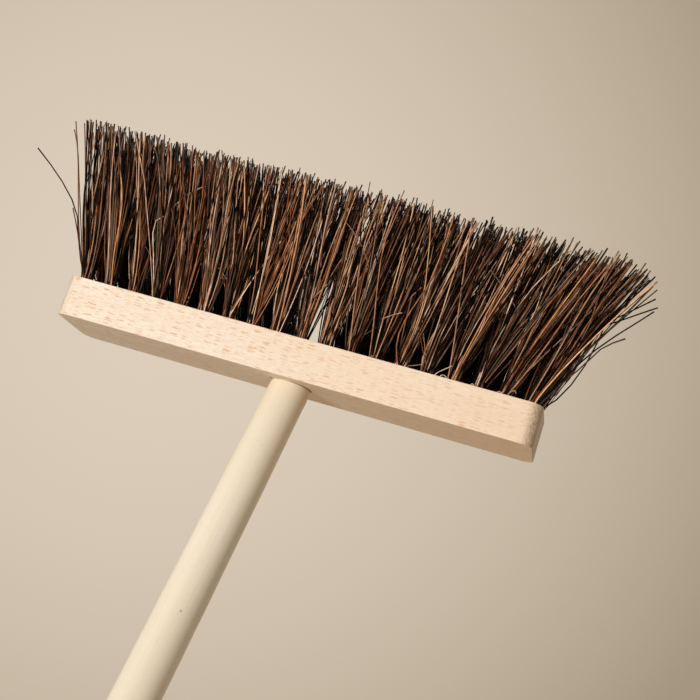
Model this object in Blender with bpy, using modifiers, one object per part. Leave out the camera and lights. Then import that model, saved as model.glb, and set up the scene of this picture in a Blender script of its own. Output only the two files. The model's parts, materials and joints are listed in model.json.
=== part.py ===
# Yard broom: a beech stock with set fibre tufts, wedged on a tapered round wooden handle.
# Metres, +Z up, bristles up. The origin is where the handle's axis meets the stock's handle side.
# X runs along the stock, and the handle leans down towards -Y.

import math
import random

import bmesh
import bpy
from mathutils import Matrix, Vector

# Stock: a flat beech block with rounded corners
STOCK_LENGTH = 0.335
STOCK_WIDTH = 0.065
STOCK_THICKNESS = 0.028
STOCK_CORNER_RADIUS = 0.009
STOCK_CORNER_STEPS = 6
STOCK_EDGE_BREAK = 0.0006

# Handle: a turned stick with a wedge taper on its head end and a domed butt
HANDLE_LENGTH = 1.37
HANDLE_DIAMETER = 0.028
HANDLE_LEAN = math.radians(28.5)  # from the stock's normal, as the socket is bored
HANDLE_SIDES = 48
TAPER_PROUD = 0.0005  # how far below the socket's mouth the taper starts
TAPER_END_DIAMETER = 0.0246
SPIGOT_INSET = 0.0015  # the handle's end stays this far below the bristle side
SPIGOT_CHAMFER = 0.0012
BUTT_FLAT_DIAMETER = 0.012
BUTT_DOME_HEIGHT = 0.009
BUTT_DOME_STEPS = 5

# Tuft holes: three staggered rows, whose middle holes are left out where the socket comes up
OUTER_ROW_TUFTS = 19
ROWS = (("front", OUTER_ROW_TUFTS, 0), ("middle", OUTER_ROW_TUFTS - 1, 2), ("back", OUTER_ROW_TUFTS, 1))
HOLE_END_MARGIN = 0.010  # from a stock's end to its last holes' centres
HOLE_SIDE_MARGIN = 0.0099
HOLE_DIAMETER = 0.009
HOLE_FLOOR = 0.012  # wood left under a hole
HOLE_SIDES = 12
SOCKET_WALL = 0.0043  # wood between the front row's middle hole and the socket, at the hole's floor

# Tufts: stiff palm fibres, packed into a root and fanned out to their trimmed tips
TUFT_TRIM = 0.111  # free length above the stock
TUFT_ROOT_PROUD = 0.0006
TUFT_ROOT_SIDES = 6
FIBRE_DIAMETER = 0.0017
FIBRE_SIDES = 3
FIBRE_TIP_SHARE = 0.8
FIBRE_EMBED = 0.0012  # how deep a fibre starts below the stock's bristle side
FIBRE_BEND_SHARE = 0.42  # share of its lean that a fibre has at half height
RING_FIBRES = 7
RING_RADIUS = 0.0025
TIP_CLEARANCE = 0.0003
TIP_SPREAD_Y = 0.0105  # fan radius at the tips, across the stock
TIP_JITTER = 0.0006
TRIM_JITTER = 0.003
TRIM_DROP_SHARE = 0.5  # share of a leaning fibre's drop in height that shows
END_LEAN = 0.029  # how far the tips of an end tuft lean out along the stock
EDGE_ROW_LEAN = 0.0085  # how far the tips of an outer row lean out sideways
SPLAY_LEAN = 0.015  # how much further use has splayed the tips at the +X end
SPLAY_SPREAD_SHARE = 0.75
SPLAY_POWER = 5

FIT_GAP = 0.0003  # between pieces that touch
CUT_OVERRUN = 0.004
MERGE_DISTANCE = 0.00001
SEED = 13

BEECH_COLOUR = (0.80, 0.60, 0.40)
HANDLE_COLOUR = (0.78, 0.62, 0.40)
FIBRE_COLOUR = (0.070, 0.030, 0.014)


def clear_scene():
    for item in list(bpy.data.objects):
        bpy.data.objects.remove(item, do_unlink=True)


def collection(name):
    made = bpy.data.collections.new(name)
    bpy.context.scene.collection.children.link(made)
    return made


def material(name, colour, roughness):
    made = bpy.data.materials.new(name)
    made.use_nodes = True
    shader = made.node_tree.nodes["Principled BSDF"]
    shader.inputs["Base Color"].default_value = (*colour, 1.0)
    shader.inputs["Roughness"].default_value = roughness
    shader.inputs["Metallic"].default_value = 0.0
    return made


def mesh_object(name, shape, group, finish=None):
    """A new object from a bmesh, which is freed."""
    mesh = bpy.data.meshes.new(name)
    shape.to_mesh(mesh)
    shape.free()
    made = bpy.data.objects.new(name, mesh)
    group.objects.link(made)
    if finish:
        mesh.materials.append(finish)
    return made


def cutter(made):
    made.hide_render = True
    made.display_type = "WIRE"
    return made


def combine(body, tool, operation):
    joined = body.modifiers.new(operation.lower(), "BOOLEAN")
    joined.operation = operation
    joined.solver = "EXACT"
    joined.object = tool


def cylinder(shape, sides, radius, low, high, x=0, y=0):
    """Add an upright capped cylinder to a bmesh."""
    bmesh.ops.create_cone(
        shape,
        cap_ends=True,
        segments=sides,
        radius1=radius,
        radius2=radius,
        depth=high - low,
        matrix=Matrix.Translation((x, y, (high + low) / 2)),
    )


# Handle and socket. Heights along the handle's axis start at the socket's mouth centre.


def mouth_reach():
    """How far along the handle's axis the slanting mouth of the socket reaches, each way."""
    return HANDLE_DIAMETER / 2 * math.tan(HANDLE_LEAN)


def taper_start():
    return -mouth_reach() - TAPER_PROUD


def spigot_end():
    """Height of the handle's end, whose upper edge stays below the bristle side."""
    edge_rise = TAPER_END_DIAMETER / 2 * math.sin(HANDLE_LEAN)
    return (STOCK_THICKNESS - SPIGOT_INSET - edge_rise) / math.cos(HANDLE_LEAN)


def taper_radius(height):
    """The handle's radius at a height, on its taper and to either side of it."""
    share = (height - taper_start()) / (spigot_end() - taper_start())
    share = min(max(share, 0), 1)
    return (HANDLE_DIAMETER + (TAPER_END_DIAMETER - HANDLE_DIAMETER) * share) / 2


def turned(name, profile, group, finish=None):
    """A closed turned solid from (radius, height) points that run down its outer side."""
    shape = bmesh.new()
    points = [shape.verts.new((radius, 0, height)) for radius, height in profile]
    for start, end in zip(points, points[1:]):
        shape.edges.new((start, end))
    made = mesh_object(name, shape, group, finish)
    screw = made.modifiers.new("turn", "SCREW")
    screw.steps = HANDLE_SIDES
    screw.render_steps = HANDLE_SIDES
    screw.use_merge_vertices = True
    screw.merge_threshold = MERGE_DISTANCE
    made.rotation_euler.x = -HANDLE_LEAN
    return made


def butt_profile():
    """The domed butt, from the stick's side down to its flat, as a quarter ellipse."""
    flat = BUTT_FLAT_DIAMETER / 2
    bottom = spigot_end() - HANDLE_LENGTH
    points = []
    for step in range(BUTT_DOME_STEPS + 1):
        turn = math.pi / 2 * step / BUTT_DOME_STEPS
        radius = flat + (HANDLE_DIAMETER / 2 - flat) * math.cos(turn)
        points.append((radius, bottom + BUTT_DOME_HEIGHT * (1 - math.sin(turn))))
    return points


def make_handle(group, finish):
    shoulder = spigot_end() - SPIGOT_CHAMFER
    profile = [
        (0, spigot_end()),
        (taper_radius(shoulder) - SPIGOT_CHAMFER, spigot_end()),
        (taper_radius(shoulder), shoulder),
        (HANDLE_DIAMETER / 2, taper_start()),
        *butt_profile(),
        (0, spigot_end() - HANDLE_LENGTH),
    ]
    made = turned("handle", profile, group, finish)
    made.data.shade_smooth()
    made.data.set_sharp_from_angle(angle=HANDLE_LEAN)
    return made


def make_socket_cutter(group):
    """The tapered through bore that the handle's end wedges into."""
    top = STOCK_THICKNESS / math.cos(HANDLE_LEAN) + mouth_reach() + CUT_OVERRUN
    low = taper_start() - CUT_OVERRUN
    profile = [
        (0, top),
        (taper_radius(top) + FIT_GAP, top),
        (taper_radius(spigot_end()) + FIT_GAP, spigot_end()),
        (taper_radius(low) + FIT_GAP, taper_start()),
        (taper_radius(low) + FIT_GAP, low),
        (0, low),
    ]
    return cutter(turned("socket_cutter", profile, group))


# Stock and tufts


def front_row_y():
    """The front row's place, clear of the slanting socket at the depth where the holes end."""
    socket_middle = HOLE_FLOOR * math.tan(HANDLE_LEAN)
    socket_radius = taper_radius(HOLE_FLOOR / math.cos(HANDLE_LEAN)) + FIT_GAP
    return socket_middle - socket_radius / math.cos(HANDLE_LEAN) - SOCKET_WALL - HOLE_DIAMETER / 2


def stock_middle_y():
    return front_row_y() - HOLE_SIDE_MARGIN + STOCK_WIDTH / 2


def column_pitch():
    return (STOCK_LENGTH - 2 * HOLE_END_MARGIN) / (OUTER_ROW_TUFTS - 1)


def row_pitch():
    return (STOCK_WIDTH - 2 * HOLE_SIDE_MARGIN) / (len(ROWS) - 1)


def tuft_places():
    """(name, x, y) of every tuft, leaving out those at the socket."""
    places = []
    for row, (row_name, count, left_out) in enumerate(ROWS):
        for column in range(count):
            from_middle = column - (count - 1) / 2
            if abs(from_middle) * 2 >= left_out:
                name = f"tuft_{row_name}_{column + 1:02d}"
                places.append((name, from_middle * column_pitch(), front_row_y() + row * row_pitch()))
    return places


def upright_edges(shape, wanted):
    """The edges of a stock-shaped bmesh that run up its sides, or all its others."""
    half = STOCK_THICKNESS / 2
    return [e for e in shape.edges if (abs(e.verts[0].co.z - e.verts[1].co.z) > half) == wanted]


def make_stock(group, tools, finish, places):
    shape = bmesh.new()
    bmesh.ops.create_cube(shape, size=1)
    bmesh.ops.scale(shape, vec=(STOCK_LENGTH, STOCK_WIDTH, STOCK_THICKNESS), verts=shape.verts)
    bmesh.ops.translate(shape, vec=(0, stock_middle_y(), STOCK_THICKNESS / 2), verts=shape.verts)
    bmesh.ops.bevel(
        shape,
        geom=upright_edges(shape, True),
        offset=STOCK_CORNER_RADIUS,
        offset_type="OFFSET",
        segments=STOCK_CORNER_STEPS,
        profile=0.5,
        affect="EDGES",
    )
    bmesh.ops.bevel(
        shape,
        geom=upright_edges(shape, False),
        offset=STOCK_EDGE_BREAK,
        offset_type="OFFSET",
        segments=1,
        affect="EDGES",
    )
    stock = mesh_object("stock", shape, group, finish)
    holes = bmesh.new()
    for _, x, y in places:
        cylinder(holes, HOLE_SIDES, HOLE_DIAMETER / 2, HOLE_FLOOR, STOCK_THICKNESS + CUT_OVERRUN, x, y)
    combine(stock, make_socket_cutter(tools), "DIFFERENCE")
    combine(stock, cutter(mesh_object("tuft_hole_cutter", holes, tools)), "DIFFERENCE")
    return stock


def make_fibre_section(tools):
    """The section that every fibre has, as a curve to sweep."""
    section = bpy.data.curves.new("fibre_section", "CURVE")
    section.dimensions = "2D"
    spline = section.splines.new("POLY")
    spline.points.add(FIBRE_SIDES - 1)
    for corner, point in enumerate(spline.points):
        turn = 2 * math.pi * corner / FIBRE_SIDES
        reach = FIBRE_DIAMETER / 2
        point.co = (reach * math.cos(turn), reach * math.sin(turn), 0, 1)
    spline.use_cyclic_u = True
    made = bpy.data.objects.new("fibre_section", section)
    tools.objects.link(made)
    return cutter(made)


def fibre_lean(x, y, local, chance):
    """How far a fibre's tip leans from its foot. local is its place in the root, -1 to 1 each way."""
    end_share = x / (STOCK_LENGTH / 2 - HOLE_END_MARGIN)
    row_share = (y - stock_middle_y()) / row_pitch()
    splay = max(end_share, 0) ** SPLAY_POWER
    spread = column_pitch() / 2 - FIBRE_DIAMETER / 2 - TIP_JITTER - TIP_CLEARANCE
    fan_x = spread * (1 + SPLAY_SPREAD_SHARE * splay) * local.x
    lean_x = END_LEAN * end_share + SPLAY_LEAN * splay + fan_x
    lean_y = EDGE_ROW_LEAN * row_share + TIP_SPREAD_Y * local.y
    jitter = Vector((chance.uniform(-TIP_JITTER, TIP_JITTER), chance.uniform(-TIP_JITTER, TIP_JITTER), 0))
    return Vector((lean_x, lean_y, 0)) + jitter


def fibre_points(x, y, local, chance):
    """Foot, half height and tip of one fibre, as seen from its tuft's origin on the stock."""
    lean = fibre_lean(x, y, local, chance)
    trim = TUFT_TRIM - chance.uniform(0, TRIM_JITTER)
    drop = trim - math.sqrt(trim**2 - lean.length_squared)
    rise = Vector((0, 0, trim - drop * TRIM_DROP_SHARE))
    foot = Vector((local.x * RING_RADIUS, local.y * RING_RADIUS, STOCK_THICKNESS))
    start = foot - Vector((0, 0, FIBRE_EMBED))
    return start, foot + lean * FIBRE_BEND_SHARE + rise / 2, foot + lean + rise


def fibre_places(chance):
    """One fibre in the middle of the root and a ring of others, turned at random."""
    start = chance.uniform(0, math.pi)
    turns = [start + 2 * math.pi * number / RING_FIBRES for number in range(RING_FIBRES)]
    return [Vector((0, 0))] + [Vector((math.cos(turn), math.sin(turn))) for turn in turns]


def as_mesh(curve, group):
    """The curve's evaluated tubes as a mesh object, with their caps welded on, facing out."""
    bpy.context.view_layer.update()
    graph = bpy.context.evaluated_depsgraph_get()
    mesh = bpy.data.meshes.new_from_object(curve.evaluated_get(graph))
    shape = bmesh.new()
    shape.from_mesh(mesh)
    bmesh.ops.remove_doubles(shape, verts=shape.verts, dist=MERGE_DISTANCE)
    bmesh.ops.recalc_face_normals(shape, faces=shape.faces)
    shape.to_mesh(mesh)
    shape.free()
    mesh.materials.clear()
    made = bpy.data.objects.new(curve.name + "_solid", mesh)
    made.matrix_world = curve.matrix_world
    group.objects.link(made)
    bpy.data.objects.remove(curve)
    return made


def make_tuft(place, group, tools, finish, section, chance):
    """One tuft: its packed root in the hole, and the fibres that stand out of it, as one body."""
    name, x, y = place
    root = bmesh.new()
    radius = HOLE_DIAMETER / 2 * math.cos(math.pi / HOLE_SIDES) - FIT_GAP
    cylinder(root, TUFT_ROOT_SIDES, radius, HOLE_FLOOR + FIT_GAP, STOCK_THICKNESS + TUFT_ROOT_PROUD)
    tuft = mesh_object(name, root, group, finish)
    curve = bpy.data.curves.new(name + "_fibres", "CURVE")
    curve.dimensions = "3D"
    curve.bevel_mode = "OBJECT"
    curve.bevel_object = section
    curve.use_fill_caps = True
    for local in fibre_places(chance):
        points = fibre_points(x, y, local, chance)
        spline = curve.splines.new("POLY")
        spline.points.add(len(points) - 1)
        for point, spot in zip(spline.points, points):
            point.co = (*spot, 1)
        spline.points[-1].radius = FIBRE_TIP_SHARE
    fibres = bpy.data.objects.new(name + "_fibres", curve)
    tools.objects.link(fibres)
    solid = cutter(as_mesh(fibres, tools))
    combine(tuft, solid, "UNION")
    tuft.location = solid.location = (x, y, 0)
    return tuft


def main():
    clear_scene()
    broom = collection("yard_broom")
    tools = collection("cutters")
    beech = material("beech", BEECH_COLOUR, 0.6)
    stick = material("handle_wood", HANDLE_COLOUR, 0.5)
    fibre = material("palm_fibre", FIBRE_COLOUR, 0.55)
    make_handle(broom, stick)
    head = bpy.data.objects.new("head", None)
    broom.objects.link(head)
    places = tuft_places()
    make_stock(broom, tools, beech, places).parent = head
    section = make_fibre_section(tools)
    chance = random.Random(SEED)
    for place in places:
        make_tuft(place, broom, tools, fibre, section, chance).parent = head


main()
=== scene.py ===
# Yard broom, dressed: planed beech, a pale turned stick, and every fibre of its tufts.
import json
import math

import bmesh
import bpy
import numpy as np
from mathutils import Matrix, Vector


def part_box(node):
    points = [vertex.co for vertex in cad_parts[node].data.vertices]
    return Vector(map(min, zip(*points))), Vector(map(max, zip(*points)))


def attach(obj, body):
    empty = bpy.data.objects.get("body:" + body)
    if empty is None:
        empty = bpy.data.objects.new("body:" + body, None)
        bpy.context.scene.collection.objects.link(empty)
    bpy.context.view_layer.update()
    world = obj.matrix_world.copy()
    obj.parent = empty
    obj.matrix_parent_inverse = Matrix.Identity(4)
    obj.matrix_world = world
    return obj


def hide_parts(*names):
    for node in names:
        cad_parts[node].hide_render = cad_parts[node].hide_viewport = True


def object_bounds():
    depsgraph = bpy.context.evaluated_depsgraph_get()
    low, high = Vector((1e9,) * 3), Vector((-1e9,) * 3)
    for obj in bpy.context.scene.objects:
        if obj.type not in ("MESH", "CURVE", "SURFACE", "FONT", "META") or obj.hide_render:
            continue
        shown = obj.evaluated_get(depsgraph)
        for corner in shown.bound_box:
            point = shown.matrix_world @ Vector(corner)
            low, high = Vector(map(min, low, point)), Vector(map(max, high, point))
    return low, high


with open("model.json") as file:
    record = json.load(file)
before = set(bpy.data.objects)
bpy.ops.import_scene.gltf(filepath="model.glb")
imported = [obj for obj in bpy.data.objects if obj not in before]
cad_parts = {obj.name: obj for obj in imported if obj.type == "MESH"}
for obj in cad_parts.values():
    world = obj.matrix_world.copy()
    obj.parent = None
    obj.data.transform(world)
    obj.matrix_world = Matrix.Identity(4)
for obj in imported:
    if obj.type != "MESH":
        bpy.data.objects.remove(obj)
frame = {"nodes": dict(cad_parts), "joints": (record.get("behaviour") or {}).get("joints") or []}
cad_box = [list(corner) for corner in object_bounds()]

MM = 0.001
SEED = 7
AXIS = Vector(frame["joints"][0]["axis"]).normalized()  # the handle's, up into the stock
STOCK_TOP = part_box("stock")[1][2]

# Camera: found from the stock's corners, the tufts' feet and the handle's edges
CAMERA_PLACE = (219.2 * MM, -878.3 * MM, -148.1 * MM)
CAMERA_FORWARD = (-0.2055, 0.9582, 0.1992)
CAMERA_RIGHT = (0.9432, 0.1396, 0.3014)
CAMERA_NEAR = 10 * MM
SENSOR = 36.0
LENS = 69.82

# Light: a soft box at the camera's left, a broad one behind, and the room's warm bounce.
# The ways go from the broom to the lamps.
KEY_WAY = (-0.34, -0.925, -0.11)
KEY_DISTANCE = 2.8
KEY_SIZE = 0.8
KEY_SPREAD = math.radians(90)
KEY_POWER = 17.9
BACK_WAY = (0.10, 0.90, 0.42)
BACK_DISTANCE = 3.0
BACK_SIZE = 1.2
BACK_SPREAD = math.radians(180)
BACK_POWER = 26.0
FILL_COLOUR = (0.350, 0.286, 0.219)

# Backdrop: a painted pool of light round one spot, given as a way from the camera, and painted
# shade away from it
BACKDROP_LIT_SPOT = (-0.3443, 0.9189, 0.1923)
BACKDROP_LIGHT = (0.721, 0.617, 0.494)
BACKDROP_SHADE = (0.375, 0.304, 0.214)
BACKDROP_REACH = 0.46
BACKDROP_RETURN = (1.15, 2.4)  # in reaches: from here to there it grows light again
FLOOR_COLOUR = (0.88, 0.77, 0.63)
FLOOR_CLOUD = 0.95  # how much darker its clouds are
FLOOR_RADIUS = 8.0
FLOOR_SIDES = 96
FLOOR_FADE = (0.6, 2.4)  # from here to there the floor gives way to the backdrop
FLOOR_DROP = 1.0 * MM

# Beech: ray flecks of two sizes, each with the length and height of its cells, its rarity,
# its size in a cell and its strength
FLECKS = (
    (7.8 * MM, 1.10 * MM, 0.58, 0.50, 1.10),
    (4.8 * MM, 0.80 * MM, 0.58, 0.44, 0.55),
)
WOOD_GLOSS = 0.28  # specular level of both woods

# Stock
STOCK_CORNER_RADIUS = 9.0 * MM
STOCK_CORNER_STEPS = 12
STOCK_EDGE_ROUND = 0.5 * MM
STOCK_EDGE_STEPS = 2
STOCK_SHARP = math.radians(35)
STOCK_FLAT = 0.9999  # a face whose normal has a part above this is one of the block's flat sides
HOLE_RADIUS = 4.5 * MM
HOLE_SIDES = 20
HOLE_FLOOR = 12.0 * MM
SOCKET_GAP = 0.5 * MM
SOCKET_REACH = 48.0 * MM  # how far its tool goes each way along the axis
CUT_OVERRUN = 4.0 * MM
CHIP_PLACE = (-13.4 * MM, -8.5 * MM, 0.0)  # a chip out of the socket's rim
CHIP_SIZE = (1.8 * MM, 5.0 * MM, 4.0 * MM)

# Handle
HANDLE_SIDES = 96
HANDLE_SHARP = math.radians(40)
HANDLE_RING_STEP = 12.0 * MM
HANDLE_LONG = 4  # a stretch of more ring steps than this is waved
HANDLE_WAVE = 0.08 * MM
HANDLE_WAVES = (61, 143)  # radians per metre
LOWER_STICK_SHADE = (0.93, 0.92, 0.90)  # painted shade: how much duller the stick is from 260 mm below the stock on, where the light falls off
KNOTS = (  # place, size and strength of the small marks that the photograph shows on the stick
    ((5.3 * MM, -102.7 * MM, -161.9 * MM), 1.1 * MM, 0.75),
    ((0.6 * MM, -41.3 * MM, -46.7 * MM), 0.6 * MM, 0.5),
    ((4.3 * MM, -41.8 * MM, -49.1 * MM), 0.6 * MM, 0.5),
)

# Fibres: their number, form and thickness
FIBRES_IN_TUFT = 76
COUNT_JITTER = 4
FIBRE_LEVELS = (0.0, 0.05, 0.13, 0.25, 0.40, 0.56, 0.72, 0.87, 1.0)
LINE_LEVELS = np.array((0.0, *FIBRE_LEVELS))  # with the point that is down in the hole
FIBRE_SIDES = 5
FIBRE_SHARP = math.radians(80)
RING_START = (0.31, 0.95, 0.05)  # a way that no fibre runs along
FIBRE_RADIUS = 0.40 * MM
THICKNESS = (0.65, 1.35)  # thinnest and thickest fibre, by the radius
FILL_THICKNESS = (0.8, 1.3)
THICKNESS_WOBBLE = (0.9, 1.1)  # along one fibre
TAPER = 0.04
CUT_END = 1.12  # a trimmed fibre's radius at its tip, where the shears flattened it
ROOT_RADIUS = 4.1 * MM
ROOT_DEPTH = 7.0 * MM
ROOT_LOOSENESS = 0.07
TIP_ZONE = 20 * MM  # the part of a tuft's node, down from its top, that gives its mean tip

# Fibres: where they end
TRIM = 111.0 * MM
TRIM_JITTER = 1.6 * MM
TRIM_LIMITS = (-3 * TRIM_JITTER, 1.6 * TRIM_JITTER)
PROUD_SHARE = 0.07
PROUD = (1.5 * MM, 4.5 * MM)  # how far above the trim a proud fibre ends
# Places along the stock, and how much lower the fibres are cut there, in mm
SHORTER = ((-150, 0.6), (-110, 1.8), (-70, 3.0), (100, 3.4), (150, -0.6))
FAN = (10.5 * MM, 10.0 * MM)
GAP_FAN = 0.9  # share of a wide gap in its row that a tuft's edge fibres lean into
CLUMPS = 5
CLUMP_SPREAD = (4.2 * MM, 3.2 * MM)
STRAY_SPREAD = (6.2 * MM, 4.6 * MM)
WILD_SHARE = 0.12
WILD_TIMES = 2.2
# How far a fibre may lean along the stock, to the left and the right, as shares of the trim
LEAN_LIMITS = {"front": (-0.285, 0.49), "middle": (-0.300, 0.42), "back": (-0.315, 0.315)}
BACK_IN = 5 * MM  # how far one that leans further is set back inside
BROKEN_SHARE = 0.05
BROKEN_AT = (0.35, 0.93)

# Fibres: how they run
END_TUFT = 140.0 * MM  # a tuft with its root further out than this is at an end of the stock
BEND = {"front": (1.0, 1.5), "middle": (0.3, 0.65), "back": (0.6, 1.1)}
END_BEND = (1.0, 1.35)  # of the outermost fibres at the right end
EDGE_SLACK = 0.6 * MM
BOW = 2.2 * MM
WAVE = 0.8 * MM
KINKED_SHARE = 0.16
KINK_AT = (0.35, 0.8)
KINK_SLOPE = 0.22
KINK_INWARD = 120 * MM  # further out than this all kinks turn inward

# Fibres: their tones, from 0 for black to 1 for the palest
PLACES = (-END_TUFT, 0.0, END_TUFT)  # where the next two are given
DARK_SHARE = (0.40, 0.54, 0.49)
PALEST = (0.86, 1.0, 0.95)
DARK_TONES = (0.0, 0.26)
PALE_FROM = 0.36
# Painted shade: the middle row's fibres are darker towards the root, where the rows beside it keep
# the light off
PAINTED_SHADE_LEVELS = (0.12, 0.65)  # between these the middle row grows out of its painted shade
PAINTED_SHADE_TONE = 0.2
PAINTED_SHADE_TONE_AT_END = 0.7
WARM_SHARE = 0.5
WARM = (0.5, 1.0)
GREY_SHARE = 0.14
GREY = (0.4, 0.9)

# Fill: more fibres in the two hidden rows. The low ones are short and dark, at a tuft's foot and
# across the gaps beside it; their dark tones are painted shade between the tufts. The tall ones
# fill the middle row.
LOW_HEIGHT = (6.0 * MM, 40.0 * MM)
LOW_SPREAD = 9.0 * MM
TALL_HEIGHT = (52.0 * MM, 105.0 * MM)
TALL_SPREAD = 17.0 * MM
FILL = {  # number in a tuft, height, spread to each side, bend and palest tone
    "front": (),
    "middle": (
        (14, LOW_HEIGHT, LOW_SPREAD, 0.6, 0.25),
        (12, TALL_HEIGHT, TALL_SPREAD, 0.9, 0.62),
    ),
    "back": ((14, LOW_HEIGHT, 0.8 * LOW_SPREAD, 0.9, 0.25),),
}
WIDE_GAP = 1.0 * MM  # how much more than the pitch makes a gap in a row wide
GAP_BEND = 2.4  # how late a tall one leans over a wide gap

# Wisps: thin loose fibrils on the outer rows
WISP_CHANCE = 0.55
WISP_RADIUS = 0.27 * MM
WISP_OUTER = 4 * MM  # they come off the fibres that are further out than this from the root
WISP_OUTER_POINT = 6  # at this point of their line
WISP_STARTS = (2, 7)  # the first point that they start at, and the one after the last
WISP_SLANT = (0.30, 0.95)
WISP_LENGTH = (14 * MM, 42 * MM)
WISP_CURL = 0.22
WISP_OUTWARD = 0.13
WISP_TONES = (0.45, 0.85)

# The light that shows between two front tufts. Each row has a height, and the left and the right
# edge of the gap at that height on the plane of the front row, in mm.
LIGHT_GAP = (
    (28, 4.7, 7.8),
    (39, 6.0, 8.6),
    (49, 7.0, 9.4),
    (57, 7.7, 10.0),
    (72, 8.0, 9.6),
)
LIGHT_GAP_PLANE = -17.2 * MM
LIGHT_GAP_WAY = (-0.245, 0.23)  # how far it runs aside and up for each step to the back
GAP_SAMPLES = 6

# Fuzz: slivers of beech that the drill raised at the holes
FUZZ_AT_HOLE = 2
FUZZ_LENGTH = (2.5 * MM, 6.0 * MM)
FUZZ_RADIUS = 0.22 * MM
FUZZ_TURN = 1.2
FUZZ_CURL = 1.6
FUZZ_RISE = (0.3 * MM, 1.6 * MM)
FUZZ_ARCH = 0.75  # how much of a half wave one rises and falls through
FUZZ_SUNK = 0.2 * MM

# Strays that the photograph shows, each under the tuft whose hole it comes out of: its tone, its
# radius and its path, both in mm
STRAYS = {
    "tuft_front_01": [
        (0.15, 0.50, (
            (-160.4, -17.3, 22), (-162.6, -18.0, 33.4), (-172.9, -19.0, 54.4),
            (-180.7, -23.0, 73.7), (-194.1, -36.0, 89.5), (-207.9, -55.0, 100.7),
        )),
        (0.55, 0.42, (
            (-160.2, -17.8, 22), (-162.3, -18.0, 33.5), (-174.2, -18.0, 62.0),
            (-186.1, -19.0, 90.8), (-196.2, -20.0, 115.8), (-204.3, -21.0, 130.9),
        )),
        (0.40, 0.45, (
            (-159.8, -18.4, 22), (-161.9, -19.0, 33.2), (-167.0, -20.0, 42.8),
            (-173.2, -22.0, 57.1), (-182.9, -24.0, 74.3),
        )),
        (0.20, 0.50, (
            (-160.5, -17.0, 22), (-162.0, -17.2, 31.7), (-170.6, -17.2, 59.7),
            (-179.4, -17.2, 92.0), (-186.3, -17.2, 115.1), (-192.6, -17.2, 133.5),
        )),
        (0.05, 0.50, (
            (-159.5, -18.2, 22), (-160.4, -18.2, 31.7), (-167.6, -18.2, 59.9),
            (-174.9, -18.2, 88.6), (-181.5, -18.2, 112.5), (-189.4, -18.2, 136.0),
        )),
    ],
    "tuft_front_04": [
        (0.92, 0.42, (
            (-107, -17.2, 22), (-110, -19, 40), (-119, -24, 66), (-121.5, -26.0, 79.1),
            (-114.6, -26.0, 87.0), (-109.8, -26.0, 98.8), (-100.1, -26.0, 109.6),
            (-94.7, -26.0, 113.3),
        )),
    ],
    "tuft_front_10": [
        (0.10, 0.45, (
            (3.6, -16.0, 22), (6.2, -15.0, 40), (9.4, -14.0, 60), (13.5, -13.0, 82),
            (16.5, -13.0, 104),
        )),
        (0.30, 0.40, (
            (3.4, -14.6, 22), (5.0, -12.0, 44), (8.6, -10.0, 66), (15.0, -9.0, 92),
            (19.0, -9.0, 118),
        )),
    ],
    "tuft_front_11": [
        (0.12, 0.48, (
            (13.8, -16.5, 22), (11.4, -15.0, 33), (8.8, -14.0, 48), (7.8, -14.0, 61),
            (7.6, -14.0, 106),
        )),
        (0.05, 0.46, (
            (13.9, -15.0, 22), (12.2, -13.5, 33), (10.1, -12.0, 47), (9.0, -12.0, 62),
            (9.4, -12.0, 112),
        )),
        (0.45, 0.42, (
            (14.2, -18.0, 22), (13.0, -16.0, 35), (11.0, -15.0, 52), (10.4, -15.0, 70),
            (12.0, -15.0, 118),
        )),
        (0.20, 0.46, (
            (14.4, -14.0, 22), (13.6, -11.0, 33), (11.8, -9.0, 47), (10.0, -8.0, 66),
            (8.6, -8.0, 110),
        )),
        (0.10, 0.46, (
            (14.8, -13.4, 22), (14.2, -9.0, 31), (13.4, -5.0, 44), (12.6, -3.0, 66),
            (11.0, -3.0, 108),
        )),
    ],
    "tuft_front_14": [
        (0.95, 0.32, (
            (74.0, -19.0, 26), (75.4, -21.0, 30.0), (79.3, -22.0, 31.3), (85.6, -24.0, 33.6),
        )),
    ],
    "tuft_front_15": [
        (0.95, 0.30, (
            (91.5, -18.5, 26), (95.1, -21.0, 30.8), (99.5, -22.0, 34.6), (103.4, -23.0, 37.5),
        )),
    ],
    "tuft_front_18": [
        (0.80, 0.42, (
            (142.5, -20.0, 26), (143.2, -21.0, 29.3), (144.8, -22.0, 31.9),
            (147.3, -23.0, 32.7), (148.1, -23.0, 30.9),
        )),
    ],
    "tuft_front_19": [
        (0.15, 0.50, (
            (160.5, -17.5, 22), (163.0, -18.0, 28.2), (173.1, -19.0, 49.0),
            (184.5, -20.0, 83.9), (201.6, -22.0, 97.8), (219.5, -25.0, 109.6),
        )),
        (0.05, 0.50, (
            (160.6, -18.0, 22), (163.2, -18.2, 28.2), (179.0, -20.0, 58.0),
            (192.4, -22.0, 77.7), (212.3, -24.0, 100.2), (217.8, -25.0, 106.4),
        )),
        (0.10, 0.50, (
            (160.6, -18.4, 22), (163.4, -18.4, 28.2), (174.0, -20.0, 45.7),
            (184.4, -22.0, 61.3), (193.0, -24.0, 75.1), (205.1, -26.0, 84.0),
        )),
        (0.30, 0.50, (
            (160.2, -16.8, 22), (162.6, -17.0, 28.7), (172.1, -17.0, 48.8),
            (183.9, -17.0, 86.7), (198.9, -18.0, 100.5), (216.7, -20.0, 116.4),
        )),
    ],
}

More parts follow.
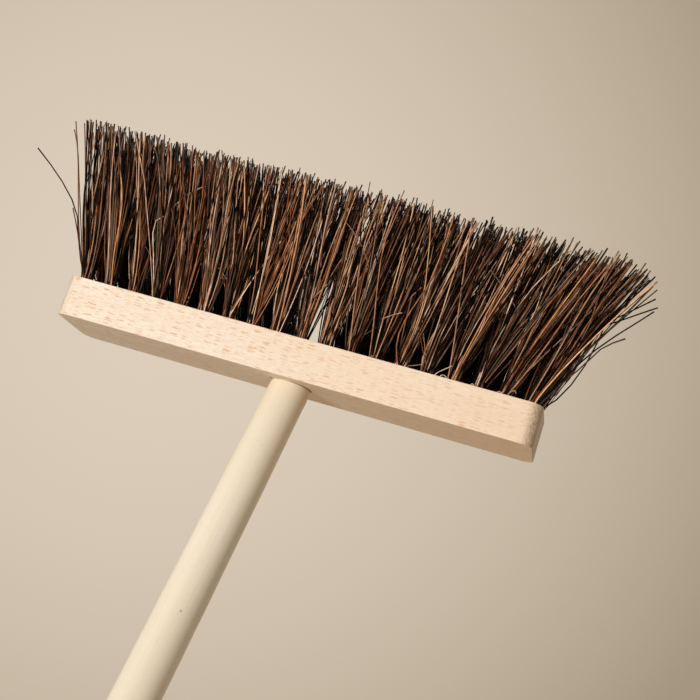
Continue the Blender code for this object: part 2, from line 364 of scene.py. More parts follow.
# Curls of beech at the front holes that the photograph shows, in mm
CURLS = (
    ((97.6, -24.0, 27.9), (98.9, -24.6, 29.6), (101.0, -26.0, 29.5), (102.9, -27.0, 28.2)),
    ((118.1, -24.0, 27.9), (119.5, -25.0, 29.3), (121.2, -26.0, 28.2)),
    ((135.4, -24.0, 27.9), (137.6, -25.0, 29.1), (139.8, -26.0, 28.2)),
    ((67.2, -24.0, 27.9), (68.4, -25.0, 29.3), (69.6, -26.0, 28.2)),
)
CURL_RADIUS = 0.26 * MM


def sampler(name):
    """A random generator of its own for each piece, so that changing one leaves the rest."""
    return np.random.default_rng([SEED, *name.encode()])


# Node materials


class Nodes:
    """Short calls for a material's or a world's node tree."""

    def __init__(self, owner):
        owner.use_nodes = True
        self.tree = owner.node_tree
        self.tree.nodes.clear()

    def add(self, kind, inputs=None, **settings):
        node = self.tree.nodes.new(kind)
        for key, value in settings.items():
            setattr(node, key, value)
        for key, value in (inputs or {}).items():
            self.put(node.inputs[key], value)
        return node

    def put(self, socket, value):
        if isinstance(value, bpy.types.NodeSocket):
            self.tree.links.new(value, socket)
        else:
            socket.default_value = value

    def math(self, operation, *values):
        node = self.add("ShaderNodeMath", operation=operation)
        for socket, value in zip(node.inputs, values):
            self.put(socket, value)
        return node.outputs[0]

    def place(self):
        return self.add("ShaderNodeTexCoord").outputs["Object"]

    def parts(self, vector):
        """A vector's x, y and z."""
        return self.add("ShaderNodeSeparateXYZ", {"Vector": vector}).outputs

    def scaled(self, vector, scale):
        return self.add("ShaderNodeMapping", {"Vector": vector, "Scale": scale}).outputs[0]

    def distance(self, first, second):
        node = self.add("ShaderNodeVectorMath", operation="DISTANCE")
        self.put(node.inputs[0], first)
        self.put(node.inputs[1], second)
        return node.outputs["Value"]

    def noise(self, vector, scale, detail=2.0, roughness=0.5):
        inputs = {"Vector": self.scaled(vector, scale), "Scale": 1.0}
        inputs.update({"Detail": detail, "Roughness": roughness})
        return self.add("ShaderNodeTexNoise", inputs).outputs[0]

    def ramp(self, factor, stops):
        node = self.add("ShaderNodeValToRGB", {"Fac": factor})
        band = node.color_ramp
        while len(band.elements) < len(stops):
            band.elements.new(0.5)
        for element, (place, colour) in zip(band.elements, stops):
            element.position = place
            element.color = (*colour, 1.0)
        return node.outputs[0]

    def grade(self, factor, low, high, to_low=0.0, to_high=1.0):
        inputs = {0: factor, 1: low, 2: high, 3: to_low, 4: to_high}
        return self.add("ShaderNodeMapRange", inputs, clamp=True).outputs[0]

    def mix(self, factor, first, second, blend="MIX"):
        node = self.add("ShaderNodeMix", data_type="RGBA", blend_type=blend)
        self.put(node.inputs[0], factor)
        for socket, colour in ((node.inputs[6], first), (node.inputs[7], second)):
            is_socket = isinstance(colour, bpy.types.NodeSocket)
            self.put(socket, colour if is_socket else (*colour, 1.0))
        return node.outputs[2]

    def bump(self, height, distance, strength):
        inputs = {"Height": height, "Distance": distance, "Strength": strength}
        return self.add("ShaderNodeBump", inputs).outputs[0]

    def attribute(self, name):
        return self.add("ShaderNodeAttribute", attribute_name=name).outputs["Fac"]

    def surface(self, colour, roughness, normal, **others):
        inputs = {"Base Color": colour, "Roughness": roughness, "Normal": normal}
        inputs.update({key.replace("_", " "): value for key, value in others.items()})
        shader = self.add("ShaderNodeBsdfPrincipled", inputs)
        self.add("ShaderNodeOutputMaterial", {"Surface": shader.outputs[0]})


def beech_material():
    made = bpy.data.materials.new("planed_beech")
    n = Nodes(made)
    place = n.place()
    x, y, _ = n.parts(place)
    band = n.noise(place, (7, 55, 70), detail=3)
    streak = n.noise(place, (45, 700, 900))
    drift = n.grade(n.math("ADD", x, n.math("MULTIPLY", band, 0.06)), -0.14, 0.18)
    colour = n.mix(drift, (0.775, 0.728, 0.642), (0.750, 0.608, 0.460))
    colour = n.mix(n.grade(band, 0.35, 0.68, 0.0, 0.45), colour, (0.72, 0.56, 0.41))
    colour = n.mix(n.grade(streak, 0.45, 0.75, 0.0, 0.30), colour, (0.71, 0.54, 0.39))
    grain = n.noise(place, (380, 900, 1500))
    colour = n.mix(n.grade(grain, 0.35, 0.65, 0.0, 0.30), colour, (0.66, 0.49, 0.34))
    # Pores: fine broken lines along the grain, on the narrow sides too
    pores = n.noise(place, (130, 330, 1900), detail=1)
    colour = n.mix(n.grade(pores, 0.57, 0.68, 0.0, 0.42), colour, (0.52, 0.36, 0.23))
    # Ray flecks: short spindles along the grain, a random few of the cells of a stretched pattern
    wander = n.add("ShaderNodeTexNoise", {"Vector": n.scaled(place, (90, 90, 90)), "Scale": 1.0})
    wander = n.scaled(wander.outputs["Color"], (0.006, 0.0, 0.0022))
    bent = n.add("ShaderNodeVectorMath", operation="ADD")
    n.put(bent.inputs[0], place)
    n.put(bent.inputs[1], wander)
    bent_x, _, bent_z = n.parts(bent.outputs[0])
    facing = n.add("ShaderNodeNewGeometry").outputs["Normal"]
    across = n.add("ShaderNodeVectorTransform", {"Vector": facing}, vector_type="NORMAL")
    across.convert_from = "WORLD"
    across.convert_to = "OBJECT"
    across_x, across_y, _ = n.parts(across.outputs[0])
    broad = n.grade(n.math("ABSOLUTE", across_y), 0.86, 0.98)
    for long, tall, rare, size, strength in FLECKS:
        cell_x = n.math("DIVIDE", bent_x, long)
        cell_z = n.math("ADD", n.math("DIVIDE", bent_z, tall), n.math("SIGN", y))
        cells = n.add("ShaderNodeCombineXYZ", {0: cell_x, 1: cell_z}).outputs[0]
        inputs = {"Vector": cells, "Scale": 1.0}
        fleck = n.add("ShaderNodeTexVoronoi", inputs, voronoi_dimensions="2D").outputs
        chance = n.add("ShaderNodeSeparateColor", {"Color": fleck["Color"]}).outputs
        reach = n.grade(chance[0], rare, 1.0, 0.0, size)
        mark = n.grade(n.math("SUBTRACT", reach, fleck["Distance"]), 0.0, 0.07)
        depth = n.grade(chance[1], 0.0, 1.0, 0.35 * strength, strength)
        mark = n.math("MULTIPLY", mark, depth)
        mark = n.math("MULTIPLY", mark, n.grade(grain, 0.30, 0.60, 0.45, 1.0))
        mark = n.math("MULTIPLY", mark, n.grade(x, -0.02, 0.12, 1.0, 0.62))
        colour = n.mix(n.math("MULTIPLY", mark, broad), colour, (0.590, 0.320, 0.155))
    # End grain: darker, with fine hatching up the right end. It sets in sooner round the right
    # corner than round the left one: painted shade on the end turned away from the key lamp.
    right_end = n.grade(across_x, 0.10, 0.60)
    left_end = n.grade(across_x, -0.95, -0.45, 1.0, 0.0)
    end = n.math("MAXIMUM", right_end, left_end)
    lines = n.noise(place, (1700, 1700, 460), roughness=0.6)
    end_colour = n.mix(n.grade(lines, 0.42, 0.58), (0.615, 0.488, 0.355), (0.290, 0.205, 0.135))
    colour = n.mix(n.math("MULTIPLY", end, 0.85), colour, end_colour)
    # Fine upright lines where the left end rounds into the broad face
    upright = n.noise(place, (800, 800, 25), detail=1)
    rounding = n.grade(across_x, -0.80, -0.03, 0.80, 0.0)
    mark = n.math("MULTIPLY", n.grade(upright, 0.50, 0.62), rounding)
    colour = n.mix(mark, colour, (0.500, 0.330, 0.190))
    height = n.math("MULTIPLY", streak, n.grade(end, 0.0, 1.0, 0.5, 0.0))
    rough = n.grade(streak, 0.3, 0.7, 0.58, 0.72)
    n.surface(colour, rough, n.bump(height, 0.06 * MM, 0.6), Specular_IOR_Level=WOOD_GLOSS)
    return made


def handle_material():
    made = bpy.data.materials.new("pale_stick")
    n = Nodes(made)
    turn = AXIS.to_track_quat("Z", "X").inverted().to_euler()
    place = n.place()
    x, _, z = n.parts(place)
    upright = n.add("ShaderNodeMapping", {"Vector": place, "Rotation": turn}).outputs[0]
    band = n.noise(upright, (60, 60, 2.2), detail=3)
    streak = n.noise(upright, (900, 900, 14), detail=3)
    colour = n.mix(n.grade(band, 0.35, 0.7), (0.808, 0.746, 0.622), (0.768, 0.682, 0.535))
    colour = n.mix(n.grade(streak, 0.5, 0.75, 0.0, 0.3), colour, (0.66, 0.55, 0.40))
    cloud = n.noise(upright, (30, 30, 12))
    colour = n.mix(n.grade(cloud, 0.55, 0.8, 0.0, 0.25), colour, (0.68, 0.61, 0.50))
    # Painted light: warmer near the stock, for the warm light that bounces off it; and painted
    # shade further down, where the light falls off
    height = n.parts(upright)[2]
    colour = n.mix(n.grade(height, -0.13, -0.01, 0.0, 0.55), colour, (0.790, 0.665, 0.485))
    colour = n.mix(n.grade(height, -0.26, -0.12, 1.0, 0.0), colour, LOWER_STICK_SHADE, "MULTIPLY")
    pores = n.noise(upright, (2600, 2600, 500), detail=1)
    colour = n.mix(n.grade(pores, 0.62, 0.78, 0.0, 0.35), colour, (0.50, 0.42, 0.31))
    for middle, size, strength in KNOTS:
        mark = n.grade(n.distance(place, middle), 0.45 * size, size, strength, 0.0)
        colour = n.mix(mark, colour, (0.40, 0.27, 0.15))
    # Painted shadow at the joint: a dark line where the stick goes into the stock, stronger on the
    # side away from the key lamp
    line = n.grade(z, -0.9 * MM, -0.2 * MM)
    line = n.math("MULTIPLY", line, n.grade(x, -2 * MM, 9 * MM, 0.25, 0.9))
    colour = n.mix(line, colour, (0.16, 0.10, 0.06))
    rough = n.grade(streak, 0.3, 0.7, 0.45, 0.6)
    n.surface(colour, rough, n.bump(streak, 0.05 * MM, 0.5), Specular_IOR_Level=WOOD_GLOSS)
    return made


def fibre_material():
    """Palm fibre, coloured by what each point's attributes say."""
    made = bpy.data.materials.new("palm_fibre")
    n = Nodes(made)
    patch = n.noise(n.place(), (500, 500, 60))
    mixed = n.math("ADD", n.attribute("tone"), n.grade(patch, 0.2, 0.8, -0.14, 0.14))
    colour = n.ramp(
        mixed,
        [
            (0.00, (0.002, 0.001, 0.001)),
            (0.30, (0.0045, 0.002, 0.0015)),
            (0.44, (0.078, 0.031, 0.017)),
            (0.62, (0.260, 0.122, 0.068)),
            (0.82, (0.540, 0.312, 0.195)),
            (1.00, (0.840, 0.640, 0.465)),
        ],
    )
    colour = n.mix(n.attribute("warm"), colour, (1.08, 0.80, 0.49), "MULTIPLY")
    colour = n.mix(n.attribute("grey"), colour, (0.100, 0.072, 0.054))
    # The dark tips: partly the cut ends' own colour, partly painted shade, as the tips stand
    # against unlit fibres
    tip = n.grade(n.attribute("along"), 0.94, 0.99, 0.0, 0.62)
    colour = n.mix(tip, colour, (0.016, 0.010, 0.007))
    gloss = {"Specular_IOR_Level": 0.05, "Specular_Tint": (1.0, 0.85, 0.70, 1.0)}
    n.surface(colour, 0.38, n.bump(patch, 0.15 * MM, 0.5), **gloss)
    return made


# Geometry helpers


def node_points(name):
    return np.array([v.co for v in frame["nodes"][name].data.vertices])


def as_mesh(name, shape):
    """The bmesh as a mesh. The bmesh itself is freed."""
    mesh = bpy.data.meshes.new(name)
    shape.to_mesh(mesh)
    shape.free()
    return mesh


def as_object(name, mesh, material=None):
    made = bpy.data.objects.new(name, mesh)
    if material:
        mesh.materials.append(material)
    bpy.context.scene.collection.objects.link(made)
    return made


def block(size, middle):
    shape = bmesh.new()
    bmesh.ops.create_cube(shape, size=1)
    bmesh.ops.scale(shape, vec=size, verts=shape.verts)
    bmesh.ops.translate(shape, vec=middle, verts=shape.verts)
    return shape


def round_edges(shape, edges, radius, steps):
    bmesh.ops.bevel(
        shape,
        geom=edges,
        offset=radius,
        offset_type="OFFSET",
        segments=steps,
        profile=0.5,
        affect="EDGES",
    )


def cut_out(body, tools):
    """Cuts the tools' shapes out of the body, and removes the tools."""
    for tool in tools:
        cut = body.modifiers.new("cut", "BOOLEAN")
        cut.operation = "DIFFERENCE"
        cut.solver = "EXACT"
        cut.object = tool
    bpy.context.view_layer.update()
    graph = bpy.context.evaluated_depsgraph_get()
    mesh = bpy.data.meshes.new_from_object(body.evaluated_get(graph))
    body.modifiers.clear()
    old = body.data
    body.data = mesh
    bpy.data.meshes.remove(old)
    for tool in tools:
        bpy.data.objects.remove(tool)


def lathe(name, profile, material):
    """A closed turned piece round the handle's axis, from (height, radius) points going up."""
    turn_up = AXIS.to_track_quat("Z", "X").to_matrix()
    shape = bmesh.new()
    rings = []
    for height, radius in profile:
        ring = []
        for side in range(HANDLE_SIDES):
            turn = 2 * math.pi * side / HANDLE_SIDES
            spot = Vector((radius * math.cos(turn), radius * math.sin(turn), height))
            ring.append(shape.verts.new(turn_up @ spot))
        rings.append(ring)
    for low, high in zip(rings, rings[1:]):
        for side in range(HANDLE_SIDES):
            after = (side + 1) % HANDLE_SIDES
            shape.faces.new((low[side], low[after], high[after], high[side]))
    shape.faces.new(reversed(rings[0]))
    shape.faces.new(rings[-1])
    mesh = as_mesh(name, shape)
    mesh.shade_smooth()
    mesh.set_sharp_from_angle(angle=HANDLE_SHARP)
    return as_object(name, mesh, material)


# Handle, from the profile that its node has along the joint's axis


def handle_profile():
    """(height, radius) of the turned node's rings, from the butt up."""
    points = node_points("handle")
    heights = points @ np.array(AXIS)
    radii = np.linalg.norm(points - heights[:, None] * np.array(AXIS), axis=1)
    rings = {}
    for height, radius in zip(heights.tolist(), radii.tolist()):
        ring = round(height, 5)
        rings[ring] = max(rings.get(ring, 0.0), radius)
    return sorted(rings.items())


def fine_profile():
    """The handle's profile with rings added along its long stretch, slightly hollowed in waves."""
    profile = handle_profile()
    slow, quick = HANDLE_WAVES
    fine = [profile[0]]
    for (low, low_radius), (high, high_radius) in zip(profile, profile[1:]):
        steps = max(1, round((high - low) / HANDLE_RING_STEP))
        for step in range(1, steps + 1):
            share = step / steps
            height = low + (high - low) * share
            radius = low_radius + (high_radius - low_radius) * share
            if steps > HANDLE_LONG and step < steps:
                wave = math.sin(height * slow) + math.sin(height * quick + 1)
                radius += HANDLE_WAVE * (wave - 2) / 2
            fine.append((height, radius))
    return fine


def make_handle(material):
    piece = lathe("turned_handle", fine_profile(), material)
    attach(piece, "handle")
    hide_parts("handle")


# Stock


def stock_block():
    low, high = (Vector(corner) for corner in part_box("stock"))
    shape = block(high - low, (low + high) / 2)
    half = (high.z - low.z) / 2
    upright = [e for e in shape.edges if abs(e.verts[0].co.z - e.verts[1].co.z) > half]
    round_edges(shape, upright, STOCK_CORNER_RADIUS, STOCK_CORNER_STEPS)
    rims = [e for e in shape.edges if abs(e.verts[0].co.z - e.verts[1].co.z) < half]
    round_edges(shape, rims, STOCK_EDGE_ROUND, STOCK_EDGE_STEPS)
    return as_mesh("beech_stock", shape)


def hole_tool(roots):
    shape = bmesh.new()
    for root in roots:
        top = root.z + CUT_OVERRUN
        bmesh.ops.create_cone(
            shape,
            cap_ends=True,
            segments=HOLE_SIDES,
            radius1=HOLE_RADIUS,
            radius2=HOLE_RADIUS,
            depth=top - HOLE_FLOOR,
            matrix=Matrix.Translation((root.x, root.y, (HOLE_FLOOR + top) / 2)),
        )
    return as_object("hole_tool", as_mesh("hole_tool", shape))


def socket_tool(material):
    """The bore for the handle: its taper with a gap round it, carried on at both ends."""
    shoulder, taper_end = ((h, radius + SOCKET_GAP) for h, radius in handle_profile()[-3:-1])
    below, above = (-SOCKET_REACH, shoulder[1]), (SOCKET_REACH, taper_end[1])
    return lathe("socket_tool", [below, shoulder, taper_end, above], material)


def make_stock(material, roots):
    stock = as_object("beech_stock", stock_block(), material)
    chip_tool = as_object("chip_tool", as_mesh("chip_tool", block(CHIP_SIZE, CHIP_PLACE)))
    cut_out(stock, [hole_tool(roots), socket_tool(material), chip_tool])
    stock.data.shade_smooth()
    stock.data.set_sharp_from_angle(angle=STOCK_SHARP)
    for face in stock.data.polygons:
        if max(abs(part) for part in face.normal) > STOCK_FLAT:
            face.use_smooth = False
    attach(stock, "head")
    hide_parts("stock")


# Fibres


def tuft_frame(name):
    """The root's centre on the stock, and the mean tip, of a tuft's node."""
    points = node_points(name)
    heights = points[:, 2]
    root = points[heights < heights.min() + MM].mean(axis=0)
    tip = points[heights > heights.max() - TIP_ZONE].mean(axis=0)
    return Vector((root[0], root[1], STOCK_TOP)), Vector(tip)


def disc(random, count, radius):
    """Points spread evenly but loosely over a disc, as an (n, 2) array."""
    order = np.arange(count) + 0.5
    reach = radius * np.sqrt(order / count)
    turn = order * math.pi * (3 - math.sqrt(5)) + random.uniform(0, 2 * math.pi)
    spots = np.stack([reach * np.cos(turn), reach * np.sin(turn)], axis=1)
    return spots + random.normal(0, radius * ROOT_LOOSENESS, spots.shape)


def free_widths(node, roots):
    """How much wider than a pitch the gaps to the node's neighbours in its row are."""
    row = node.rsplit("_", 1)[0]
    places = sorted(spot.x for name, spot in roots.items() if name.startswith(row))
    steps = [after - before for before, after in zip(places, places[1:])]
    pitch = min(steps)
    at = places.index(roots[node].x)
    before = steps[at - 1] - pitch if at > 0 else 0.0
    after = steps[at] - pitch if at < len(steps) else 0.0
    return before, after


def fibre_ends(row, root, tip, free, reach, random):
    """How far aside, as an (n, 2) array, and how far up each of a tuft's fibres goes.

    The reach is where its foot is, from the middle (0) to the rim of the hole (1).
    """
    count = len(reach)
    fan = reach * np.array(FAN)
    fan[:, 0] += GAP_FAN * np.where(reach[:, 0] > 0, free[1], free[0]) * reach[:, 0]
    clump = random.normal(0, 1, (CLUMPS, 2)) * np.array(CLUMP_SPREAD)
    stray = random.normal(0, 1, (count, 2)) * np.array(STRAY_SPREAD)
    stray[random.uniform(0, 1, count) < WILD_SHARE] *= WILD_TIMES
    lean = np.array([tip.x - root.x, tip.y - root.y])
    away = lean + fan + clump[random.integers(0, CLUMPS, count)] + stray
    length = TRIM - np.interp(root.x, *(np.array(SHORTER).T * MM))
    length += np.clip(random.normal(0, TRIM_JITTER, count), *TRIM_LIMITS)
    proud = random.uniform(0, 1, count) < PROUD_SHARE
    length += np.where(proud, random.uniform(*PROUD, count), 0.0)
    broken = random.uniform(0, 1, count) < BROKEN_SHARE
    share = np.where(broken, random.uniform(*BROKEN_AT, count), 1.0)
    left, right = (TRIM * limit for limit in LEAN_LIMITS[row])
    back_in = np.abs(random.normal(0, BACK_IN, count))
    away[:, 0] = np.where(away[:, 0] < left, left + back_in, away[:, 0])
    away[:, 0] = np.where(away[:, 0] > right, right - back_in, away[:, 0])
    rise = np.sqrt(length**2 - (away**2).sum(axis=1))
    return away * share[:, None], rise * share


def tuft_lines(row, root, tip, free, random):
    """Centre lines of one tuft's fibres, as an (n, points, 3) array."""
    count = FIBRES_IN_TUFT + int(random.integers(-COUNT_JITTER, COUNT_JITTER + 1))
    foot = disc(random, count, ROOT_RADIUS)
    reach = foot / ROOT_RADIUS
    away, rise = fibre_ends(row, root, tip, free, reach, random)
    levels = np.array(FIBRE_LEVELS)
    bend = random.uniform(*BEND[row], count)
    outermost = (root.x > END_TUFT) & (reach[:, 0] > 0)
    bend = np.where(outermost, random.uniform(*END_BEND, count), bend)
    bow = random.normal(0, 1, (count, 2)) * BOW
    wave = random.normal(0, 1, (count, 2)) * WAVE
    knee = random.uniform(*KINK_AT, count)
    kinked = random.uniform(0, 1, count) < KINKED_SHARE
    slope = np.where(kinked, random.normal(0, KINK_SLOPE, count), 0.0)
    if abs(root.x) > KINK_INWARD:
        slope = -np.sign(root.x) * np.abs(slope)
    lines = np.zeros((count, len(LINE_LEVELS), 3))
    for axis, middle in enumerate((root.x, root.y)):
        sway = away[:, axis, None] * levels ** bend[:, None]
        sway += bow[:, axis, None] * np.sin(math.pi * levels)
        sway += wave[:, axis, None] * np.sin(2 * math.pi * levels)
        if axis == 0:
            edge = TRIM * LEAN_LIMITS[row][1] * levels + EDGE_SLACK
            sway = np.where(outermost[:, None], np.minimum(sway, edge), sway)
            sway += slope[:, None] * np.maximum(0, levels - knee[:, None]) * rise[:, None]
        lines[:, :, axis] = middle + foot[:, axis, None]
        lines[:, 1:, axis] += sway
    lines[:, 1:, 2] = STOCK_TOP + rise[:, None] * levels
    lines[:, 0, 2] = STOCK_TOP - ROOT_DEPTH
    return lines


def fill_lines(root, tip, free, count, heights, spread, bend, random):
    """Extra fibres of a hidden row, as an (n, points, 3) array.

    They spread along the stock, but not past its end or low in a wide gap.
    """
    foot = disc(random, count, ROOT_RADIUS)
    height = random.uniform(*heights, count)
    left = 0.0 if root.x < -END_TUFT else -spread
    right = 0.0 if root.x > END_TUFT else spread
    aside = random.uniform(left, right, count)
    over_gap = (aside < 0) & (free[0] > WIDE_GAP) | (aside > 0) & (free[1] > WIDE_GAP)
    bends = np.where(over_gap, GAP_BEND, bend)[:, None]
    aside[over_gap & (height < TALL_HEIGHT[0])] = 0.0
    aside += (tip.x - root.x) * height / TRIM
    lines = np.zeros((count, len(LINE_LEVELS), 3))
    lines[:, :, 0] = root.x + foot[:, :1] + aside[:, None] * LINE_LEVELS**bends
    lines[:, :, 1] = root.y + foot[:, 1:]
    lines[:, :, 2] = STOCK_TOP + height[:, None] * LINE_LEVELS
    lines[:, 0, 2] = STOCK_TOP - ROOT_DEPTH
    return lines


def closes_light_gap(lines):
    """For each line, whether it would close the gap that the light comes through."""
    share = np.linspace(0, 1, GAP_SAMPLES, endpoint=False)[:, None]
    spots = lines[:, :-1, None, :] * (1 - share) + lines[:, 1:, None, :] * share
    back = spots[..., 1] - LIGHT_GAP_PLANE
    x = spots[..., 0] - LIGHT_GAP_WAY[0] * back
    z = spots[..., 2] - LIGHT_GAP_WAY[1] * back
    heights, lefts, rights = np.array(LIGHT_GAP).T * MM
    inside = (z > heights[0]) & (z < heights[-1])
    inside &= (x > np.interp(z, heights, lefts)) & (x < np.interp(z, heights, rights))
    return inside.any(axis=(1, 2))


def smooth_line(path):
    """A fibre's points, spread along a Catmull-Rom curve through a path in mm."""
    spots = np.array(path) * MM
    spots = np.vstack([2 * spots[0] - spots[1], spots, 2 * spots[-1] - spots[-2]])
    spans = len(spots) - 3
    made = []
    for place in np.linspace(0, spans, len(LINE_LEVELS)):
        at = min(int(place), spans - 1)
        t = place - at
        a, b, c, d = spots[at : at + 4]
        square, cube = 2 * a - 5 * b + 4 * c - d, 3 * b - a - 3 * c + d
        made.append(0.5 * (2 * b + (c - a) * t + square * t**2 + cube * t**3))
    return np.array(made)


def wisp_line(start, outward, random):
    """A thin loose fibril that leaves its tuft at a slant."""
    slant = random.uniform(*WISP_SLANT) * random.choice((-1, 1))
    length = random.uniform(*WISP_LENGTH)
    curl = random.normal(0, WISP_CURL)
    levels = np.linspace(0, 1, len(LINE_LEVELS))
    turn = slant + curl * levels
    step = length / (len(levels) - 1)
    line = np.zeros((len(levels), 3))
    line[:, 0] = np.cumsum(np.sin(turn)) * step
    line[:, 1] = outward * WISP_OUTWARD * length * levels
    line[:, 2] = np.cumsum(np.cos(turn)) * step
    return start + line - line[0]


def wisp_lines(lines, row, root, random):
    """The wisps of one tuft. Those of the middle row and at the stock's ends have none."""
    if row == "middle" or abs(root.x) >= END_TUFT:
        return []
    outward = -1 if row == "front" else 1
    out = outward * (lines[:, WISP_OUTER_POINT, 1] - root.y)
    outer = lines[out > WISP_OUTER]
    wisps = []
    while random.uniform() < WISP_CHANCE and len(outer):
        line = outer[int(random.integers(len(outer)))]
        start = line[int(random.integers(*WISP_STARTS))]
        wisps.append(wisp_line(start, outward, random))
    return wisps


def tubes(name, lines, radii):
    """A mesh of closed tubes along the lines, with a radius at each point."""
    count, points, _ = lines.shape
    way = np.gradient(lines, axis=1)
    way /= np.linalg.norm(way, axis=2, keepdims=True)
    side = np.cross(way, np.array(RING_START))
    side /= np.linalg.norm(side, axis=2, keepdims=True)
    other = np.cross(way, side)
    turn = 2 * math.pi * np.arange(FIBRE_SIDES)[:, None] / FIBRE_SIDES
    ring = side[:, :, None, :] * np.cos(turn) + other[:, :, None, :] * np.sin(turn)
    verts = lines[:, :, None, :] + ring * radii[:, :, None, None]
    faces = []
    for fibre in range(count):
        first = fibre * points * FIBRE_SIDES
        last = first + (points - 1) * FIBRE_SIDES
        for low in range(first, last, FIBRE_SIDES):
            high = low + FIBRE_SIDES
            for corner in range(FIBRE_SIDES):
                after = (corner + 1) % FIBRE_SIDES
                faces.append((low + corner, low + after, high + after, high + corner))
        faces.append(tuple(first + corner for corner in reversed(range(FIBRE_SIDES))))
        faces.append(tuple(last + corner for corner in range(FIBRE_SIDES)))
    mesh = bpy.data.meshes.new(name)
    mesh.from_pydata(verts.reshape(-1, 3).tolist(), [], faces)
    mesh.shade_smooth()
    return mesh


def marked(random, count, share, strengths):
    """How strongly each fibre is marked: a share of them at random, and the rest by 0."""
    chosen = random.uniform(0, 1, count) < share
    return np.where(chosen, random.uniform(*strengths, count), 0.0)


def tuft_fibres(node, row, roots, random):
    """The lines, thicknesses and tones of all the fibres that come out of a tuft's hole."""
    root, tip = tuft_frame(node)
    free = free_widths(node, roots)
    lines = tuft_lines(row, root, tip, free, random)
    own, shown = len(lines), STRAYS.get(node, ())
    thick = FIBRE_RADIUS * random.uniform(*THICKNESS, own)
    dark = random.uniform(0, 1, own) < np.interp(root.x, PLACES, DARK_SHARE)
    dark_tone = random.uniform(*DARK_TONES, own)
    tone = random.uniform(PALE_FROM, np.interp(root.x, PLACES, PALEST), own)
    tone = np.where(dark, dark_tone, tone)
    strays = [smooth_line(path) for _, _, path in shown]
    wisps = wisp_lines(lines, row, root, random)
    wisp_tones = random.uniform(*WISP_TONES, len(wisps))
    lines = np.concatenate([lines, *(line[None] for line in strays + wisps)])
    stray_radii = [radius * MM for _, radius, _ in shown]
    thick = np.concatenate([thick, stray_radii, [WISP_RADIUS] * len(wisps)])
    tone = np.concatenate([tone, [stray_tone for stray_tone, _, _ in shown], wisp_tones])
    fill = sampler(node + "_fill")
    for number, heights, spread, bend, palest in FILL[row]:
        extra = fill_lines(root, tip, free, number, heights, spread, bend, fill)
        lines = np.concatenate([lines, extra])
        thick = np.concatenate([thick, FIBRE_RADIUS * fill.uniform(*FILL_THICKNESS, number)])
        tone = np.concatenate([tone, fill.uniform(0.0, palest, number)])
    kept = ~closes_light_gap(lines)
    kept[own : own + len(shown)] = True
    return lines[kept], thick[kept], tone[kept]


def make_tuft(node, roots, material):
    random = sampler(node)
    row = node.split("_")[1]
    lines, thick, tone = tuft_fibres(node, row, roots, random)
    wobble = random.uniform(*THICKNESS_WOBBLE, lines.shape[:2])
    radii = thick[:, None] * (1.0 - TAPER * LINE_LEVELS) * wobble
    radii[:, -1] *= CUT_END
    # Painted shade: the middle row darker towards the root, less so at the stock's ends
    shade = 1.0
    if row == "middle":
        root_shade = PAINTED_SHADE_TONE if abs(roots[node].x) < END_TUFT else PAINTED_SHADE_TONE_AT_END
        shade = np.interp(LINE_LEVELS, PAINTED_SHADE_LEVELS, (root_shade, 1.0))
    name = node.replace("tuft", "fibres")
    mesh = tubes(name, lines, radii)
    mesh.set_sharp_from_angle(angle=FIBRE_SHARP)
    grey = marked(random, len(lines), GREY_SHARE, GREY)
    warm = marked(random, len(lines), WARM_SHARE, WARM)
    looks = {
        "warm": warm[:, None],
        "tone": tone[:, None] * shade,
        "grey": grey[:, None],
        "along": LINE_LEVELS,
    }
    for label, values in looks.items():
        values = np.repeat(np.broadcast_to(values, lines.shape[:2]), FIBRE_SIDES)
        made = mesh.attributes.new(label, "FLOAT", "POINT")
        made.data.foreach_set("value", values.astype(np.float32))
    piece = as_object(name, mesh, material)
    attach(piece, "head")
    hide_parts(node)


def fuzz_line(root, random):
    """A sliver that leaves the rim of the hole at a root, curls, and rises and falls."""
    levels = np.linspace(0, 1, len(LINE_LEVELS))
    turn = random.uniform(0, 2 * math.pi)
    step = random.uniform(*FUZZ_LENGTH) / len(levels)
    curl = turn + random.normal(0, FUZZ_TURN) + random.normal(0, FUZZ_CURL) * levels
    line = np.zeros((len(levels), 3))
    line[:, 0] = root.x + HOLE_RADIUS * math.cos(turn) + np.cumsum(np.cos(curl)) * step
    line[:, 1] = root.y + HOLE_RADIUS * math.sin(turn) + np.cumsum(np.sin(curl)) * step
    arch = np.sin(math.pi * levels * FUZZ_ARCH)
    line[:, 2] = STOCK_TOP - FUZZ_SUNK + random.uniform(*FUZZ_RISE) * arch
    return line


def make_fuzz(roots, material):
    random = sampler("hole_fuzz")
    slivers = [
        fuzz_line(root, random)
        for root in roots
        for _ in range(int(random.integers(0, FUZZ_AT_HOLE + 1)))
    ]
    curls = [smooth_line(path) for path in CURLS]
    thick = np.array([FUZZ_RADIUS] * len(slivers) + [CURL_RADIUS] * len(curls))
    radii = np.repeat(thick[:, None], len(LINE_LEVELS), axis=1)
    piece = as_object("hole_fuzz", tubes("hole_fuzz", np.array(slivers + curls), radii), material)
    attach(piece, "head")


# Stage


def make_camera():
    data = bpy.data.cameras.new("camera")
    data.sensor_width = SENSOR
    data.lens = LENS
    data.clip_start = CAMERA_NEAR
    back = -Vector(CAMERA_FORWARD).normalized()
    up = back.cross(Vector(CAMERA_RIGHT)).normalized()
    turn = Matrix((up.cross(back), up, back)).transposed()
    camera = as_object("camera", data)
    camera.matrix_world = Matrix.Translation(CAMERA_PLACE) @ turn.to_4x4()
    bpy.context.scene.camera = camera


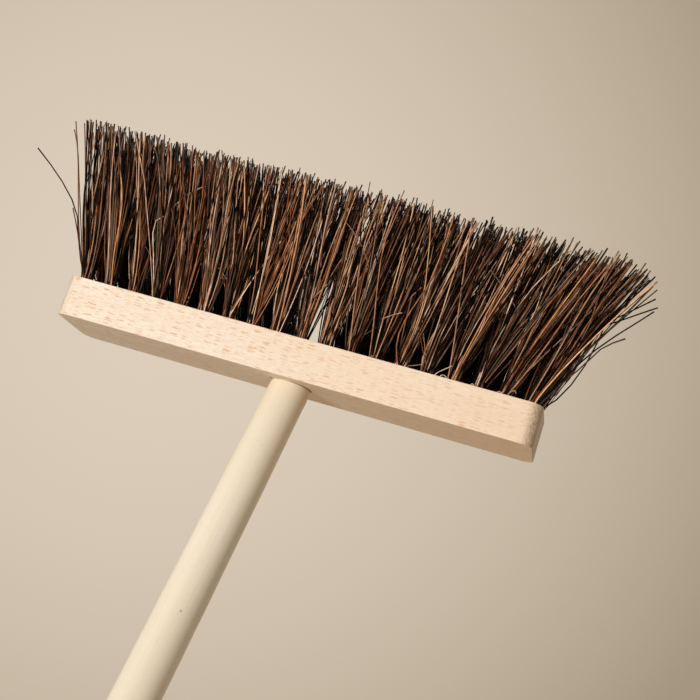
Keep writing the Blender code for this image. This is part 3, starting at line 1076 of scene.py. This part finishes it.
def make_lamp(name, way, distance, size, spread, power):
    data = bpy.data.lights.new(name, "AREA")
    data.spread = spread
    data.shape = "DISK"
    data.size = size
    data.energy = power
    way = Vector(way).normalized()
    lamp = as_object(name, data)
    lamp.location = way * distance
    lamp.rotation_mode = "QUATERNION"
    lamp.rotation_quaternion = way.to_track_quat("Z", "Y")


def shown_directly(n):
    """1 for the rays that show the background itself, in the picture or in a gloss, else 0."""
    path = n.add("ShaderNodeLightPath")
    shown = n.math("MAXIMUM", path.outputs["Is Camera Ray"], path.outputs["Is Glossy Ray"])
    return n.math("MAXIMUM", shown, path.outputs["Is Transmission Ray"])


def mix_shaders(n, share, first, second):
    shaders = {0: share, 1: first.outputs[0], 2: second.outputs[0]}
    return n.add("ShaderNodeMixShader", shaders).outputs[0]


def make_world():
    world = bpy.data.worlds.new("room")
    bpy.context.scene.world = world
    n = Nodes(world)
    way = n.add("ShaderNodeTexCoord").outputs["Generated"]
    # The backdrop: a painted pool of light round the spot, painted shade away from it, and its
    # pale colour again further off
    far = n.distance(way, BACKDROP_LIT_SPOT)
    share = n.grade(far, 0.0, BACKDROP_REACH)
    near = n.mix(n.math("MULTIPLY", share, share), BACKDROP_LIGHT, BACKDROP_SHADE)
    light_again = n.grade(far, *(BACKDROP_REACH * reaches for reaches in BACKDROP_RETURN))
    seen = n.mix(light_again, near, BACKDROP_LIGHT)
    behind = n.add("ShaderNodeBackground", {"Color": seen, "Strength": 1.0})
    fill = n.add("ShaderNodeBackground", {"Color": (*FILL_COLOUR, 1.0), "Strength": 1.0})
    mixed = mix_shaders(n, shown_directly(n), fill, behind)
    n.add("ShaderNodeOutputWorld", {"Surface": mixed})


def make_floor():
    shape = bmesh.new()
    bmesh.ops.create_circle(shape, cap_ends=True, segments=FLOOR_SIDES, radius=FLOOR_RADIUS)
    material = bpy.data.materials.new("pale_floor")
    n = Nodes(material)
    cloud = n.noise(n.place(), (6, 6, 6), detail=4)
    dark = tuple(FLOOR_CLOUD * part for part in FLOOR_COLOUR)
    colour = n.mix(cloud, FLOOR_COLOUR, dark)
    near = n.add("ShaderNodeBsdfPrincipled", {"Base Color": colour, "Roughness": 0.8})
    far = n.add("ShaderNodeBsdfTransparent")
    reach = n.add("ShaderNodeVectorMath", {0: n.place()}, operation="LENGTH").outputs["Value"]
    fade = n.math("MULTIPLY", n.grade(reach, *FLOOR_FADE), shown_directly(n))
    n.add("ShaderNodeOutputMaterial", {"Surface": mix_shaders(n, fade, near, far)})
    floor = as_object("floor", as_mesh("floor", shape), material)
    floor.location = (0, (cad_box[0][1] + cad_box[1][1]) / 2, cad_box[0][2] - FLOOR_DROP)


bpy.context.scene.view_settings.view_transform = "Standard"
make_camera()
make_lamp("key", KEY_WAY, KEY_DISTANCE, KEY_SIZE, KEY_SPREAD, KEY_POWER)
make_lamp("back", BACK_WAY, BACK_DISTANCE, BACK_SIZE, BACK_SPREAD, BACK_POWER)
make_world()
make_floor()
tuft_nodes = [name for name in sorted(frame["nodes"]) if name.startswith("tuft_")]
tuft_roots = {node: tuft_frame(node)[0] for node in tuft_nodes}
beech, palm = beech_material(), fibre_material()
make_handle(handle_material())
make_stock(beech, tuft_roots.values())
make_fuzz(tuft_roots.values(), beech)
for tuft_node in tuft_nodes:
    make_tuft(tuft_node, tuft_roots, palm)
